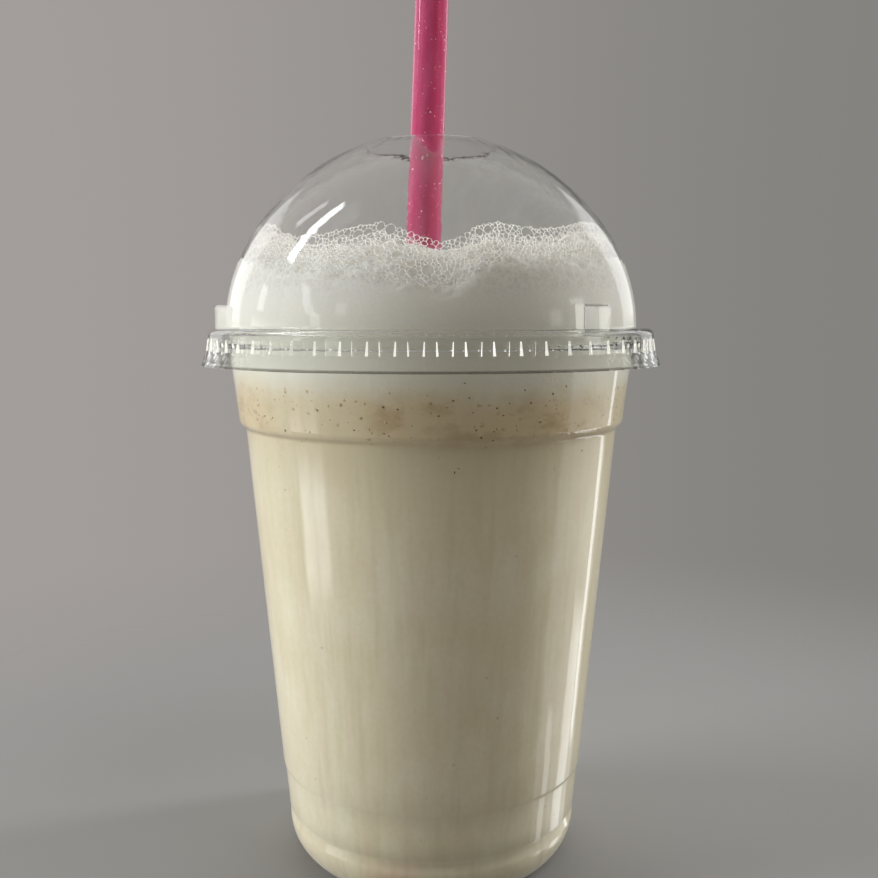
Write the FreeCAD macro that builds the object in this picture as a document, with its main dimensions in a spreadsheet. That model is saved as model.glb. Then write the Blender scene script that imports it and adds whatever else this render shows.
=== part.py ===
import FreeCAD, Part

import math
import os
import re

import Sketcher
from FreeCAD import Placement, Rotation, Vector

# A banana smoothie in a clear thermoformed cup with a domed lid and a straw, in millimetres.
# The cup's axis is Z, its standing ring is at Z = 0 and its front is -Y. A bearing is an angle
# round the axis in degrees, 0 at the front and growing towards +X.
SIZES = {
    # the cup: radii and heights are those of its outside
    "cup_height": 119.7,
    "rim_radius": 49.0,
    "base_radius": 33.35,
    "cup_wall": 0.6,
    "curl_radius": 2.2,  # the rolled rim
    "curl_end": 35,  # degrees below the horizontal at which the roll ends
    "band_drop": 19.4,  # from the rim's top to the foot of the upper band
    "band_flare": 2.07,
    "stack_width": 1.45,  # the step that stacked cups rest on
    "stack_rise": 2.3,
    "stack_round": 1.6,
    "foot_band_height": 20.6,  # top of the band that widens above the base
    "foot_band_flare": 0.89,
    "ledge_width": 0.4,
    "ledge_rise": 1.0,
    "crease_height": 9.9,  # the groove above the rounded base
    "crease_depth": 0.45,
    "crease_lip": 0.22,
    "crease_rise": 1.0,
    "side_round": 9.5,  # the base corner is two arcs, this one at the side
    "foot_round": 4.4,  # and this one down to the standing ring
    "foot_turn": 45,  # degrees of the side arc
    "ring_width": 1.856,  # the flat standing ring, inside the corner's arcs
    "punt_slope": 1.2,  # the step in from the standing ring to the hollow under the base
    "punt_height": 2.0,
    # the lid
    "lid_wall": 0.45,
    "seat_gap": 0.1,  # between the lid and the rolled rim inside it
    "skirt_flare": 1.45,  # how far the skirt's foot stands out from its shoulder
    "skirt_drop": 7.3,  # from the cup's rim down to the skirt's edge
    "flare_height": 3.1,  # the skirt's flared foot
    "band_swell": 0.4,  # how much the skirt's band widens downwards
    "shoulder_round": 1.5,
    "bead_reach": 0.25,  # the bead inside the skirt that snaps under the rim
    "bead_drop": 1.1,  # from the middle of the rolled rim down to the bead
    "bead_ramp": 0.9,
    "dome_inset": 3.3,  # from the rim's radius in to the dome's
    "dome_fillet": 0.6,
    "spring_drop": 0.42,  # the side arc's centre, below the lid's ledge
    "side_arc": 37.7,  # the dome is two tangent arcs, this one at its side
    "side_turn": 29.15,  # degrees of the side arc
    "crown_arc": 48.2,  # and this one at its crown
    "hole_radius": 14.5,
    # the flutes pressed into the skirt
    "flute_count": 60,
    "flute_width": 2.6,  # across its mouth
    "flute_floor": 2.0,  # across its floor
    "flute_depth": 0.42,
    "flute_top": 1.6,  # from the cup's rim down to the top of a flute
    "flute_height": 2.6,
    # the hollow lugs on the lid's ledge
    "lug_count": 3,
    "lug_bearing": 42.3,
    "lug_width": 7.9,
    "lug_reach": 2.3,  # out from the dome
    "lug_height": 4.9,
    "lug_round": 0.8,
    # the straw
    "straw_radius": 4.0,
    "straw_wall": 1.0,
    "straw_length": 230.0,
    "straw_lip": 0.3,
    "straw_foot_bearing": -12.6,
    "straw_mouth_bearing": -173.7,
    "corner_room": 0.9,  # between the straw's foot and the cup's wall
    "floor_gap": 0.5,
    "mouth_gap": 0.4,
    # what fills the cup
    "fill_gap": 0.1,  # between the drink and what it touches
    "drink_drop": 19.2,  # from the cup's rim down to the clear smoothie's top
    "foam_drop": 11.2,  # and down to where the foam begins
    "foam_rise": 18.4,  # from the lid's ledge up to the foam's mean top
    "foam_room": 12.0,  # the foam is shaped from a blank this much taller
}

# The foam's uneven top: bearing, distance from the axis, rise and spread of each mound or dip.
FOAM_MOUNDS = (
    (-78, 38, 3.2, 14),
    (-55, 40, 1.9, 8),
    (-40, 41, -0.8, 7),
    (-14, 41, 1.5, 7),
    (4, 41, -2.6, 6),
    (16, 41, 2.0, 7),
    (34, 40, 0.8, 8),
    (54, 40, 2.6, 9),
    (80, 38, 3.4, 13),
    (115, 37, 2.4, 12),
    (150, 39, 1.2, 10),
    (178, 36, 2.2, 12),
    (-150, 38, 1.4, 11),
    (-112, 37, 2.6, 12),
    (30, 18, 1.2, 9),
    (-60, 20, -1.2, 10),
    (140, 17, -1.0, 9),
    (-140, 16, 1.0, 8),
)
FOAM_GRID = 17  # heights along each side of the surface that shapes the foam's top

document = FreeCAD.newDocument("smoothie")
sheet = document.addObject("Spreadsheet::Sheet", "Size")
for row, (word, amount) in enumerate(SIZES.items(), start=1):
    sheet.set(f"A{row}", word)
    sheet.set(f"B{row}", str(amount))
    sheet.setAlias(f"B{row}", word)
document.recompute()


def bound(formula):
    """The formula with each size read from the sheet."""
    return re.sub(r"[a-z_]+", lambda word: "Size." + word[0] if word[0] in SIZES else word[0], formula)


def value(formula):
    """What the formula comes to, in millimetres or degrees."""
    return float(sheet.evalExpression(bound(formula)))


# Places that follow from the sizes.
CURL_Z = "(cup_height - curl_radius)"
CURL_R = "(rim_radius - curl_radius)"
STACK_TOP = "(cup_height - band_drop)"
BAND_FOOT = "(rim_radius - 2 * curl_radius + cup_wall - band_flare)"
CORNER_R = "(base_radius - side_round + (side_round - foot_round) * cos(foot_turn))"
RING_R = f"({CORNER_R} - ring_width)"
CORNER_Z = "(foot_round + (side_round - foot_round) * sin(foot_turn))"
FOOT_BAND = "(base_radius + crease_lip + foot_band_flare)"
LEDGE_Z = "(cup_height + seat_gap + lid_wall)"
SKIRT_R = "(rim_radius + seat_gap + lid_wall)"
DOME_R = "(rim_radius - dome_inset)"
SIDE_R = f"({DOME_R} - side_arc)"
SIDE_Z = f"({LEDGE_Z} - spring_drop)"
CROWN_R = f"({SIDE_R} + (side_arc - crown_arc) * cos(side_turn))"
CROWN_Z = f"({SIDE_Z} + (side_arc - crown_arc) * sin(side_turn))"
DRINK_TOP = "(cup_height - drink_drop)"
FOAM_FOOT = "(cup_height - foam_drop)"
FOAM_BLANK = f"({LEDGE_Z} + foam_rise + foam_room)"
FILL = "(cup_wall + fill_gap)"
LID_FILL = "(lid_wall + fill_gap)"


def origin_plane(body, role):
    """One of a body's own origin planes."""
    return next(item for item in body.Origin.OriginFeatures if item.Role == role)


def attach(sketch, body, role):
    """Lays a sketch on one of its body's origin planes."""
    sketch.AttachmentSupport = [(origin_plane(body, role), "")]
    sketch.MapMode = "FlatFace"


def fix(sketch, kind, target, formula):
    """Adds a constraint whose value follows a formula."""
    index = sketch.addConstraint(Sketcher.Constraint(kind, *target, value(formula)))
    sketch.setExpression(f"Constraints[{index}]", bound(formula))


def arc(start, end, radius, turn):
    """The short arc from start to end, anticlockwise for a turn of 1 and clockwise for -1."""
    across = end - start
    left = Vector(-across.y, across.x, 0).normalize()
    middle = (start + end) * 0.5
    rise = math.sqrt(max(radius**2 - (across.Length / 2) ** 2, 0))
    circle = Part.Circle(middle + left * (turn * rise), Vector(0, 0, 1), radius)
    ends = (start, end) if turn > 0 else (end, start)
    first, last = (circle.parameter(point) for point in ends)
    if last < first:
        last += 2 * math.pi
    return Part.ArcOfCircle(circle, first, last)


def section(body, name, corners):
    """A closed sketch in the body's XZ plane, whose corners are (radius, height). Where the edge that
    leaves a corner is an arc, its radius and turn follow."""
    sketch = body.newObject("Sketcher::SketchObject", name)
    attach(sketch, body, "XZ_Plane")
    spots = [Vector(value(corner[0]), value(corner[1]), 0) for corner in corners]
    count = len(corners)
    starts = []
    for index, corner in enumerate(corners):
        here, there = spots[index], spots[(index + 1) % count]
        if len(corner) == 2:
            sketch.addGeometry(Part.LineSegment(here, there))
        else:
            sketch.addGeometry(arc(here, there, value(corner[2]), corner[3]))
        starts.append(2 if len(corner) == 4 and corner[3] < 0 else 1)
    for index, corner in enumerate(corners):
        following = (index + 1) % count
        meet = (index, 3 - starts[index], following, starts[following])
        sketch.addConstraint(Sketcher.Constraint("Coincident", *meet))
        for axis, kind, formula in ((-2, "DistanceX", corner[0]), (-1, "DistanceY", corner[1])):
            if formula == "0":
                on_axis = Sketcher.Constraint("PointOnObject", index, starts[index], axis)
                sketch.addConstraint(on_axis)
            else:
                fix(sketch, kind, (index, starts[index]), formula)
        if len(corner) == 4:
            fix(sketch, "Radius", (index,), corner[2])
    return sketch


def backwards(path):
    """The same path run the other way."""
    turned = []
    for index in range(len(path) - 1, -1, -1):
        edge = path[index - 1][2:] if index else ()
        turned.append(path[index][:2] + ((edge[0], -edge[1]) if edge else ()))
    return turned


def turned(body, name, sketch):
    """The solid that a section makes when it turns once round the axis."""
    feature = body.newObject("PartDesign::Revolution", name)
    feature.Profile = sketch
    feature.ReferenceAxis = (sketch, ["V_Axis"])
    feature.Angle = 360
    return feature


def turned_body(name, corners):
    """A body that is one turned solid."""
    body = document.addObject("PartDesign::Body", name)
    turned(body, name + "_turned", section(body, name + "_section", corners))
    return body


def cut(name, base, tool):
    """What is left of one solid when another is taken out of it."""
    feature = document.addObject("Part::Cut", name)
    feature.Base = base
    feature.Tool = tool
    return feature


def band_radius(height, inset):
    """The cup's radius at a height within its upper band."""
    share = f"({height} - {STACK_TOP}) / ({CURL_Z} - {STACK_TOP})"
    return f"{BAND_FOOT} - {inset} + band_flare * {share}"


def cup_skin(inset):
    """The cup's outline from the middle of its base to its upper band, moved in by the inset."""
    foot = f"(foot_round - {inset})"
    stack_foot = f"{BAND_FOOT} - stack_width"
    return [
        ("0", f"punt_height + {inset}"),
        (f"{RING_R} - punt_slope + {inset} / 2", f"punt_height + {inset}"),
        (f"{RING_R} + {inset} / 2", inset),
        (CORNER_R, inset, foot, 1),
        (
            f"{CORNER_R} + {foot} * cos(foot_turn)",
            f"foot_round - {foot} * sin(foot_turn)",
            f"side_round - {inset}",
            1,
        ),
        (f"base_radius - {inset}", CORNER_Z),
        (f"base_radius - crease_depth - {inset}", "crease_height"),
        (f"base_radius + crease_lip - {inset}", "crease_height + crease_rise"),
        (f"{FOOT_BAND} - {inset}", "foot_band_height"),
        (f"{FOOT_BAND} + ledge_width - {inset}", "foot_band_height + ledge_rise"),
        (f"{stack_foot} - {inset}", f"{STACK_TOP} - stack_rise", "stack_round", -1),
        (f"{stack_foot} + stack_width / 2 - {inset}", f"{STACK_TOP} - stack_rise / 2", "stack_round", 1),
        (f"{BAND_FOOT} - {inset}", STACK_TOP),
    ]


def curl(radius):
    """The rolled rim's outline at a radius from its middle, from the cup's wall round to its end."""
    return [
        (f"{CURL_R} - {radius}", CURL_Z, radius, -1),
        (CURL_R, f"{CURL_Z} + {radius}", radius, -1),
        (f"{CURL_R} + {radius}", CURL_Z, radius, -1),
        (f"{CURL_R} + {radius} * cos(curl_end)", f"{CURL_Z} - {radius} * sin(curl_end)"),
    ]


def make_cup():
    """The cup: one thin wall from the hollow under its base to the rolled rim."""
    outside = cup_skin("0") + curl("(curl_radius - cup_wall)")
    inside = cup_skin("cup_wall") + curl("curl_radius")
    return turned_body("cup", outside + backwards(inside))


def ledge(inset):
    """The lid's shoulder over the rim and its ledge in to the foot of the dome."""
    return [
        (f"{SKIRT_R} - {inset}", f"{LEDGE_Z} - shoulder_round", f"shoulder_round - {inset}", 1),
        (f"{SKIRT_R} - shoulder_round", f"{LEDGE_Z} - {inset}"),
        (f"{DOME_R} + dome_fillet", f"{LEDGE_Z} - {inset}", f"dome_fillet + {inset}", -1),
    ]


def dome(inset):
    """The start of the dome's side arc and of its crown arc, moved in by the inset."""
    side = f"(side_arc - {inset})"
    foot = f"{LEDGE_Z} + dome_fillet"
    return [
        (f"{SIDE_R} + sqrt({side}^2 - ({foot} - {SIDE_Z})^2)", foot, side, 1),
        (
            f"{SIDE_R} + {side} * cos(side_turn)",
            f"{SIDE_Z} + {side} * sin(side_turn)",
            f"crown_arc - {inset}",
            1,
        ),
    ]


def crown_height(radius, inset):
    """The crown arc's height at a radius."""
    return f"{CROWN_Z} + sqrt((crown_arc - {inset})^2 - ({radius} - {CROWN_R})^2)"


def crown_radius(height, inset):
    """The crown arc's radius at a height."""
    return f"{CROWN_R} + sqrt((crown_arc - {inset})^2 - ({height} - {CROWN_Z})^2)"


def lid_section():
    """The lid's wall, up its outside from the skirt's edge to the hole and back down its inside."""
    edge = "(cup_height - skirt_drop)"
    band_foot = f"({edge} + flare_height)"
    inner = "(rim_radius + seat_gap)"
    bead_top = f"({CURL_Z} - bead_drop)"
    outside = [(f"{SKIRT_R} + skirt_flare", edge), (f"{SKIRT_R} + band_swell", band_foot)]
    outside += ledge("0") + dome("0") + [("hole_radius", crown_height("hole_radius", "0"))]
    inside = ledge("lid_wall") + dome("lid_wall")
    inside += [("hole_radius", crown_height("hole_radius", "lid_wall"))]
    bead = [
        (inner, f"{bead_top} + bead_ramp"),
        (f"{inner} - bead_reach", bead_top),
        (f"{inner} - bead_reach", band_foot),
        (f"{SKIRT_R} + skirt_flare - lid_wall", edge),
    ]
    return outside + backwards(inside) + bead


def patterned(body, name, features, count):
    """Repeats features evenly round the body's axis."""
    pattern = body.newObject("PartDesign::PolarPattern", name)
    pattern.Originals = features
    pattern.Axis = (next(f for f in body.Origin.OriginFeatures if f.Role == "Z_Axis"), [""])
    pattern.Angle = 360
    pattern.setExpression("Occurrences", bound(count))
    body.Tip = pattern
    return pattern


def lug_sector(body, name, kind, inset, angle):
    """One sector of a ring on the lid's ledge, as solid or as hollow, centred on the body's X axis."""
    low = f"{LEDGE_Z} - lid_wall / 2 - {inset}"
    inner = f"{DOME_R} - lid_wall * 0.9 - 3 * {inset}"
    outer = f"{DOME_R} + lug_reach - {inset}"
    top = f"{LEDGE_Z} + lug_height - {inset}"
    corner = f"(lug_round - {inset})"
    corners = [
        (inner, low),
        (outer, low),
        (outer, f"{LEDGE_Z} + lug_height - lug_round", corner, 1),
        (f"{DOME_R} + lug_reach - lug_round", top),
        (inner, top),
    ]
    sketch = section(body, name + "_section", corners)
    feature = body.newObject(kind, name)
    feature.Profile = sketch
    feature.ReferenceAxis = (sketch, ["V_Axis"])
    feature.Midplane = True
    feature.setExpression("Angle", bound(angle))
    return feature


def make_lugs(body):
    """The hollow lugs: each a sector added on the ledge, then hollowed from inside the dome."""
    degrees = "180 / 3.14159265 / (rim_radius - dome_inset + lug_reach)"
    solid = lug_sector(body, "lug", "PartDesign::Revolution", "0", f"lug_width * {degrees}")
    hollow_angle = f"(lug_width - 2 * lid_wall) * {degrees}"
    hollow = lug_sector(body, "lug_hollow", "PartDesign::Groove", "lid_wall", hollow_angle)
    patterned(body, "lugs", [solid, hollow], "lug_count")


def make_flutes(body):
    """The flutes round the skirt: flat recesses whose steep sides run out through the band."""
    sketch = body.newObject("Sketcher::SketchObject", "flute_section")
    attach(sketch, body, "XY_Plane")
    sketch.setExpression("AttachmentOffset.Base.z", bound("cup_height - flute_top - flute_height"))
    floor = f"{SKIRT_R} + band_swell / 2 - flute_depth"
    mouth = f"{SKIRT_R} + band_swell / 2 + flute_depth"
    spread = "(flute_width - flute_floor / 2)"
    corners = [(floor, "flute_floor / 2", 1), (mouth, spread, 1), (mouth, spread, -1)]
    corners.append((floor, "flute_floor / 2", -1))
    spots = [Vector(value(reach), side * value(across), 0) for reach, across, side in corners]
    for index, spot in enumerate(spots):
        sketch.addGeometry(Part.LineSegment(spot, spots[(index + 1) % 4]))
    for index, (reach, across, side) in enumerate(corners):
        sketch.addConstraint(Sketcher.Constraint("Coincident", index, 2, (index + 1) % 4, 1))
        fix(sketch, "DistanceX", (index, 1), reach)
        fix(sketch, "DistanceY", (index, 1), f"{side} * {across}")
    feature = body.newObject("PartDesign::Pocket", "flute")
    feature.Profile = sketch
    feature.Reversed = True
    feature.setExpression("Length", bound("flute_height"))
    patterned(body, "flutes", [feature], "flute_count")


def make_lid():
    """The domed lid with its straw hole, lugs and fluted skirt."""
    body = turned_body("lid", lid_section())
    make_lugs(body)
    make_flutes(body)
    body.setExpression("Placement.Rotation.Angle", bound("lug_bearing - 90"))
    return body


def make_straw():
    """The straw: a tube with rounded lips, along its own Z axis."""
    body = document.addObject("PartDesign::Body", "straw")
    sketch = body.newObject("Sketcher::SketchObject", "straw_section")
    attach(sketch, body, "XY_Plane")
    for index, radius in enumerate(("straw_radius", "straw_radius - straw_wall")):
        sketch.addGeometry(Part.Circle(Vector(0, 0, 0), Vector(0, 0, 1), value(radius)))
        sketch.addConstraint(Sketcher.Constraint("Coincident", index, 3, -1, 1))
        fix(sketch, "Radius", (index,), radius)
    tube = body.newObject("PartDesign::Pad", "straw_tube")
    tube.Profile = sketch
    tube.setExpression("Length", bound("straw_length"))
    document.recompute()
    rings = [
        f"Edge{number}"
        for number, edge in enumerate(tube.Shape.Edges, start=1)
        if isinstance(edge.Curve, Part.Circle)
    ]
    lips = body.newObject("PartDesign::Fillet", "straw_lips")
    lips.Base = (tube, rings)
    lips.setExpression("Radius", bound("straw_lip"))
    return body


def around(bearing, reach):
    """The point at a bearing and a distance from the axis."""
    angle = math.radians(bearing)
    return Vector(reach * math.sin(angle), -reach * math.cos(angle), 0)


def straw_line():
    """Where the straw's foot is and which way it leans: from the base's front corner to the back edge
    of the lid's hole."""
    foot_reach = value("base_radius - cup_wall - straw_radius - corner_room")
    foot = around(value("straw_foot_bearing"), foot_reach)
    mouth = around(value("straw_mouth_bearing"), value("hole_radius - straw_radius - mouth_gap"))
    foot.z = value("punt_height + cup_wall")
    mouth.z = value(crown_height("hole_radius", "0"))
    slope = math.hypot(mouth.x - foot.x, mouth.y - foot.y) / (mouth.z - foot.z)
    foot.z += value("straw_radius") * slope + value("floor_gap")
    return foot, (mouth - foot).normalize()


def cylinder(name, radius, place):
    """A cylinder as long as the straw and its clearance at both ends."""
    feature = document.addObject("Part::Cylinder", name)
    feature.setExpression("Radius", bound(radius))
    feature.setExpression("Height", bound("straw_length + 2 * fill_gap"))
    feature.Placement = place
    return feature


def foam_height(x, y):
    """The height of the foam's top over a point of the ground."""
    height = value(f"{LEDGE_Z} + foam_rise")
    for bearing, reach, rise, spread in FOAM_MOUNDS:
        away = (around(bearing, reach) - Vector(x, y, 0)).Length
        height += rise * math.exp(-((away / spread) ** 2))
    return height


def make_air():
    """The space over the foam: a smooth uneven surface and all that is above it in the foam's blank."""
    half = value("rim_radius")
    steps = [half * (2 * index / (FOAM_GRID - 1) - 1) for index in range(FOAM_GRID)]
    surface = Part.BSplineSurface()
    surface.interpolate([[Vector(x, y, foam_height(x, y)) for y in steps] for x in steps])
    feature = document.addObject("Part::Feature", "air")
    feature.Shape = surface.toShape().extrude(Vector(0, 0, value("2 * foam_room")))
    return feature


def make_drink(foot, lean):
    """The smoothie, the speckled layer on it and the foam, each cut round the straw."""
    start = foot - lean * value("fill_gap")
    place = Placement(start, Rotation(Vector(0, 0, 1), lean))
    straw_outside = cylinder("straw_outside", "straw_radius + fill_gap", place)
    straw_inside = cylinder("straw_inside", "straw_radius - straw_wall - fill_gap", place)
    straw_room = cut("straw_room", straw_outside, straw_inside)

    top = (band_radius(DRINK_TOP, FILL), DRINK_TOP)
    smoothie = turned_body("smoothie_blank", cup_skin(FILL) + [top, ("0", DRINK_TOP)])

    foot_ring = (band_radius(FOAM_FOOT, FILL), FOAM_FOOT)
    layer = turned_body("layer_blank", [("0", DRINK_TOP), top, foot_ring, ("0", FOAM_FOOT)])

    throat = ("rim_radius - 2 * curl_radius - fill_gap", CURL_Z)
    brow = (crown_radius(FOAM_BLANK, LID_FILL), FOAM_BLANK)
    outline = [("0", FOAM_FOOT), foot_ring, throat] + dome(LID_FILL) + [brow, ("0", FOAM_BLANK)]
    foam = turned_body("foam_blank", outline)
    foam_shaped = cut("foam_shaped", foam, make_air())
    return {
        "smoothie": cut("smoothie", smoothie, straw_room),
        "speckled_layer": cut("speckled_layer", layer, straw_outside),
        "foam": cut("foam", foam_shaped, straw_outside),
    }


def make_parts():
    """Every piece of the drink, by its name."""
    foot, lean = straw_line()
    straw = make_straw()
    straw.Placement = Placement(foot, Rotation(Vector(0, 0, 1), lean))
    parts = {"cup": make_cup(), "lid": make_lid(), "straw": straw}
    parts.update(make_drink(foot, lean))
    for name, part in parts.items():
        part.Label = name
    return parts


def check(parts):
    """Stops if anything failed to build."""
    for item in document.Objects:
        if "Invalid" in item.State or "Error" in item.State:
            raise RuntimeError(f"{item.Name} failed: {item.State}")
    for name, part in parts.items():
        if part.Shape.isNull() or not part.Shape.isValid() or len(part.Shape.Solids) != 1:
            raise RuntimeError(f"{name} is not one valid solid")


parts = make_parts()
document.recompute()
check(parts)
os.makedirs("parts", exist_ok=True)
for name, part in parts.items():
    part.Shape.exportStep(f"parts/{name}.step")
    print(f"{name}: {part.Shape.Volume / 1000:.2f} cm3, {len(part.Shape.Faces)} faces")
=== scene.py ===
import math

import bmesh
import bpy
import numpy as np
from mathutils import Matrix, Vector, noise


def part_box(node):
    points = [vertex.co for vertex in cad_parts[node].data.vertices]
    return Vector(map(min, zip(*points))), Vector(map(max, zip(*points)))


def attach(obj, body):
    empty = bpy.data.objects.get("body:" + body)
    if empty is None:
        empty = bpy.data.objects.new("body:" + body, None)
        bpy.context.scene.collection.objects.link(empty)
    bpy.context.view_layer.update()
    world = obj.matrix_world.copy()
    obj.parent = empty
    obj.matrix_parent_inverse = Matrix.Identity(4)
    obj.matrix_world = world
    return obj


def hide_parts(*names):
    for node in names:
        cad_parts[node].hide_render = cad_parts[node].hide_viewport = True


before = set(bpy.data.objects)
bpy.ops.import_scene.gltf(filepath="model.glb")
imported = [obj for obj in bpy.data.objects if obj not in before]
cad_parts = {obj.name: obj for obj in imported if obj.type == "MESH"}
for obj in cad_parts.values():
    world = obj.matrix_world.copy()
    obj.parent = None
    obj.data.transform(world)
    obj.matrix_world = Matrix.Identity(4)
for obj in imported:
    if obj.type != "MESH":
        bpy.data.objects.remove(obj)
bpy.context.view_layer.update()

# A banana smoothie in a clear domed cup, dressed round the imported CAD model. Metres; the cup's axis
# is Z and its front is -Y. A bearing is an angle round the axis, 0 at the front, growing towards +X.
MM = 0.001

# ---------------------------------------------------------------- camera
CAMERA_AT = (0.00177, -0.2274, 0.1217)
CAMERA_TILT = math.radians(83.275)
CAMERA_LENS = 40.84
CAMERA_SENSOR = 36.0

# ---------------------------------------------------------------- sizes the CAD model states
LID_WALL = 0.45 * MM  # the lid's wall
FILL_GAP = 0.1 * MM  # what the CAD solids leave between the drink and what it touches
SINK = 0.2 * MM  # how far a visible filling reaches into the plastic
SIDE_ARC = (8.0 * MM, 119.83 * MM, 37.7 * MM)  # the dome's side: centre radius, centre height, radius
CROWN_ARC = (-1.17 * MM, 114.72 * MM, 48.2 * MM)
SIDE_TOP = 138.19 * MM
STRAW_RADIUS = 4.0 * MM
STRAW_BORE = 3.0 * MM
STRAW_FOOT = Vector((-6.07, -27.18, 4.0)) * MM
STRAW_LEAN = Vector((0.0309, 0.2315, 0.9723)).normalized()

RIM_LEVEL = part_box("cup")[1].z
SKIRT_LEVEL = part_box("lid")[0].z
FOAM_FOOT = 108.5 * MM
FOAM_MEAN = 138.65 * MM
FOAM_MOUNDS = (
    (-78, 38, 3.2, 14),
    (-55, 40, 1.9, 8),
    (-40, 41, -0.8, 7),
    (-14, 41, 1.5, 7),
    (4, 41, -2.6, 6),
    (16, 41, 2.0, 7),
    (34, 40, 0.8, 8),
    (54, 40, 2.6, 9),
    (80, 38, 3.4, 13),
    (115, 37, 2.4, 12),
    (150, 39, 1.2, 10),
    (178, 36, 2.2, 12),
    (-150, 38, 1.4, 11),
    (-112, 37, 2.6, 12),
    (30, 18, 1.2, 9),
    (-60, 20, -1.2, 10),
    (140, 17, -1.0, 9),
    (-140, 16, 1.0, 8),
)  # bearing, distance, rise and spread of each mound, as in the CAD model

BUBBLE_CLUSTERS = (
    (-13, 136.3, 4, 1.6, 18, 1.3),
    (-18, 131.5, 4, 2.0, 10, 1.1),
    (-5, 134.5, 3, 1.6, 9, 1.2),
    (16, 137.5, 4, 0.9, 7, 1.4),
    (9, 134.8, 3, 0.8, 4, 1.1),
    (35, 138.0, 9, 0.9, 9, 0.9),
    (75, 136.0, 9, 2.5, 12, 1.2),
    (118, 135.0, 10, 2.5, 14, 1.3),
    (160, 135.0, 9, 2.5, 12, 1.2),
    (-158, 134.5, 8, 2.5, 12, 1.3),
    (-118, 135.5, 9, 2.5, 12, 1.1),
    (-80, 137.0, 8, 2.5, 9, 1.0),
)  # bearing and height of each cluster of large bubbles, its spreads, their number and largest radius


# ---------------------------------------------------------------- small helpers
def srgb(red, green, blue):
    """A colour given as 0 to 255 in sRGB, as the linear values that Blender takes."""
    out = []
    for part in (red, green, blue):
        part = part / 255
        out.append(part / 12.92 if part <= 0.04045 else ((part + 0.055) / 1.055) ** 2.4)
    return (*out, 1.0)


def on_bearing(bearing, radius, height=0.0):
    """The point at a bearing in radians, a distance from the axis and a height."""
    return Vector((radius * math.sin(bearing), -radius * math.cos(bearing), height))


def lump(x, y, z, scale):
    """Smooth noise between -1 and 1."""
    return noise.noise(Vector((x, y, z)) * scale)


def ring_points(segments, radius, height):
    """Points all round the axis at a radius and a height."""
    return [on_bearing(2 * math.pi * step / segments, radius, height) for step in range(segments)]


def ring_quads(segments, rings, first=0):
    """The faces between one ring of vertices and the next."""
    faces = []
    for low in range(first, first + (rings - 1) * segments, segments):
        for step in range(segments):
            following = (step + 1) % segments
            faces.append((low + step, low + following, low + segments + following, low + segments + step))
    return faces


def fan(segments, first, tip, flip=False):
    """The triangles from a ring of vertices to a tip."""
    faces = []
    for step in range(segments):
        here = first + step
        there = first + (step + 1) % segments
        faces.append((there, here, tip) if flip else (here, there, tip))
    return faces


def placed(name, data):
    """A new object in the scene."""
    made = bpy.data.objects.new(name, data)
    bpy.context.scene.collection.objects.link(made)
    return made


def object_from(name, vertices, faces, smooth=True):
    """A new mesh object from vertices and faces."""
    mesh = bpy.data.meshes.new(name)
    mesh.from_pydata(vertices, [], faces)
    mesh.update()
    if smooth:
        mesh.polygons.foreach_set("use_smooth", [True] * len(mesh.polygons))
        mesh.set_sharp_from_angle(angle=math.radians(50))
    return placed(name, mesh)


def finish_piece(piece, material, replaced=None):
    """Gives a piece its material, slot and body, and hides the CAD node that it stands for."""
    piece.data.materials.clear()
    piece.data.materials.append(material)
    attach(piece, "root")
    if replaced:
        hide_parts(replaced)
    return piece


# ---------------------------------------------------------------- node helpers
def link(tree, out_socket, in_socket):
    tree.links.new(out_socket, in_socket)


def feed(tree, in_socket, source):
    """Gives an input a plain value or another node's output."""
    if isinstance(source, bpy.types.NodeSocket):
        link(tree, source, in_socket)
    else:
        in_socket.default_value = source


def add(tree, kind, **settings):
    node = tree.nodes.new(kind)
    for key, amount in settings.items():
        setattr(node, key, amount)
    return node


def math_node(tree, operation, first, second=0.5, clamp=False):
    """A math node fed by sockets or numbers."""
    return value_of(tree, "Math", 0, {0: first, 1: second}, operation=operation, use_clamp=clamp)


def value_of(tree, kind, output, inputs, **settings):
    """One output of a new node, whose inputs are given by name or number."""
    node = add(tree, "ShaderNode" + kind, **settings)
    for name, source in inputs.items():
        feed(tree, node.inputs[name], source)
    return node.outputs[output]


def vector_node(tree, operation, first, second=(0.0, 0.0, 0.0)):
    """A vector math node fed by sockets or values."""
    output = "Value" if operation == "LENGTH" else "Vector"
    return value_of(tree, "VectorMath", output, {0: first, 1: second}, operation=operation)


def parts_of(tree, vector):
    """The X, Y and Z of a vector."""
    node = add(tree, "ShaderNodeSeparateXYZ")
    link(tree, vector, node.inputs[0])
    return node.outputs


def ramp(tree, source, low, high, low_to=0.0, high_to=1.0):
    """Maps low..high of a value to low_to..high_to with soft ends."""
    inputs = {"Value": source, "From Min": low, "From Max": high, "To Min": low_to, "To Max": high_to}
    return value_of(tree, "MapRange", "Result", inputs, interpolation_type="SMOOTHSTEP")


def blend_colour(tree, share, first, second, how="MIX"):
    """Mixes two colours, each a socket or a value, by a share."""
    return value_of(tree, "Mix", 2, {0: share, 6: first, 7: second}, data_type="RGBA", blend_type=how)


def noise_node(tree, place, scale, detail=3.0, roughness=0.5):
    """Soft noise about a half."""
    inputs = {"Vector": place, "Scale": scale, "Detail": detail, "Roughness": roughness}
    return value_of(tree, "TexNoise", "Fac", inputs)


def cell_node(tree, place, scale, feature="DISTANCE_TO_EDGE"):
    """How far a point lies from the edge of its cell, or with F1 from the cell's middle."""
    return value_of(tree, "TexVoronoi", "Distance", {"Vector": place, "Scale": scale}, feature=feature)


def stretched(tree, place, scale):
    """The place with each axis scaled."""
    return value_of(tree, "Mapping", "Vector", {"Vector": place, "Scale": scale})


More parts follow.
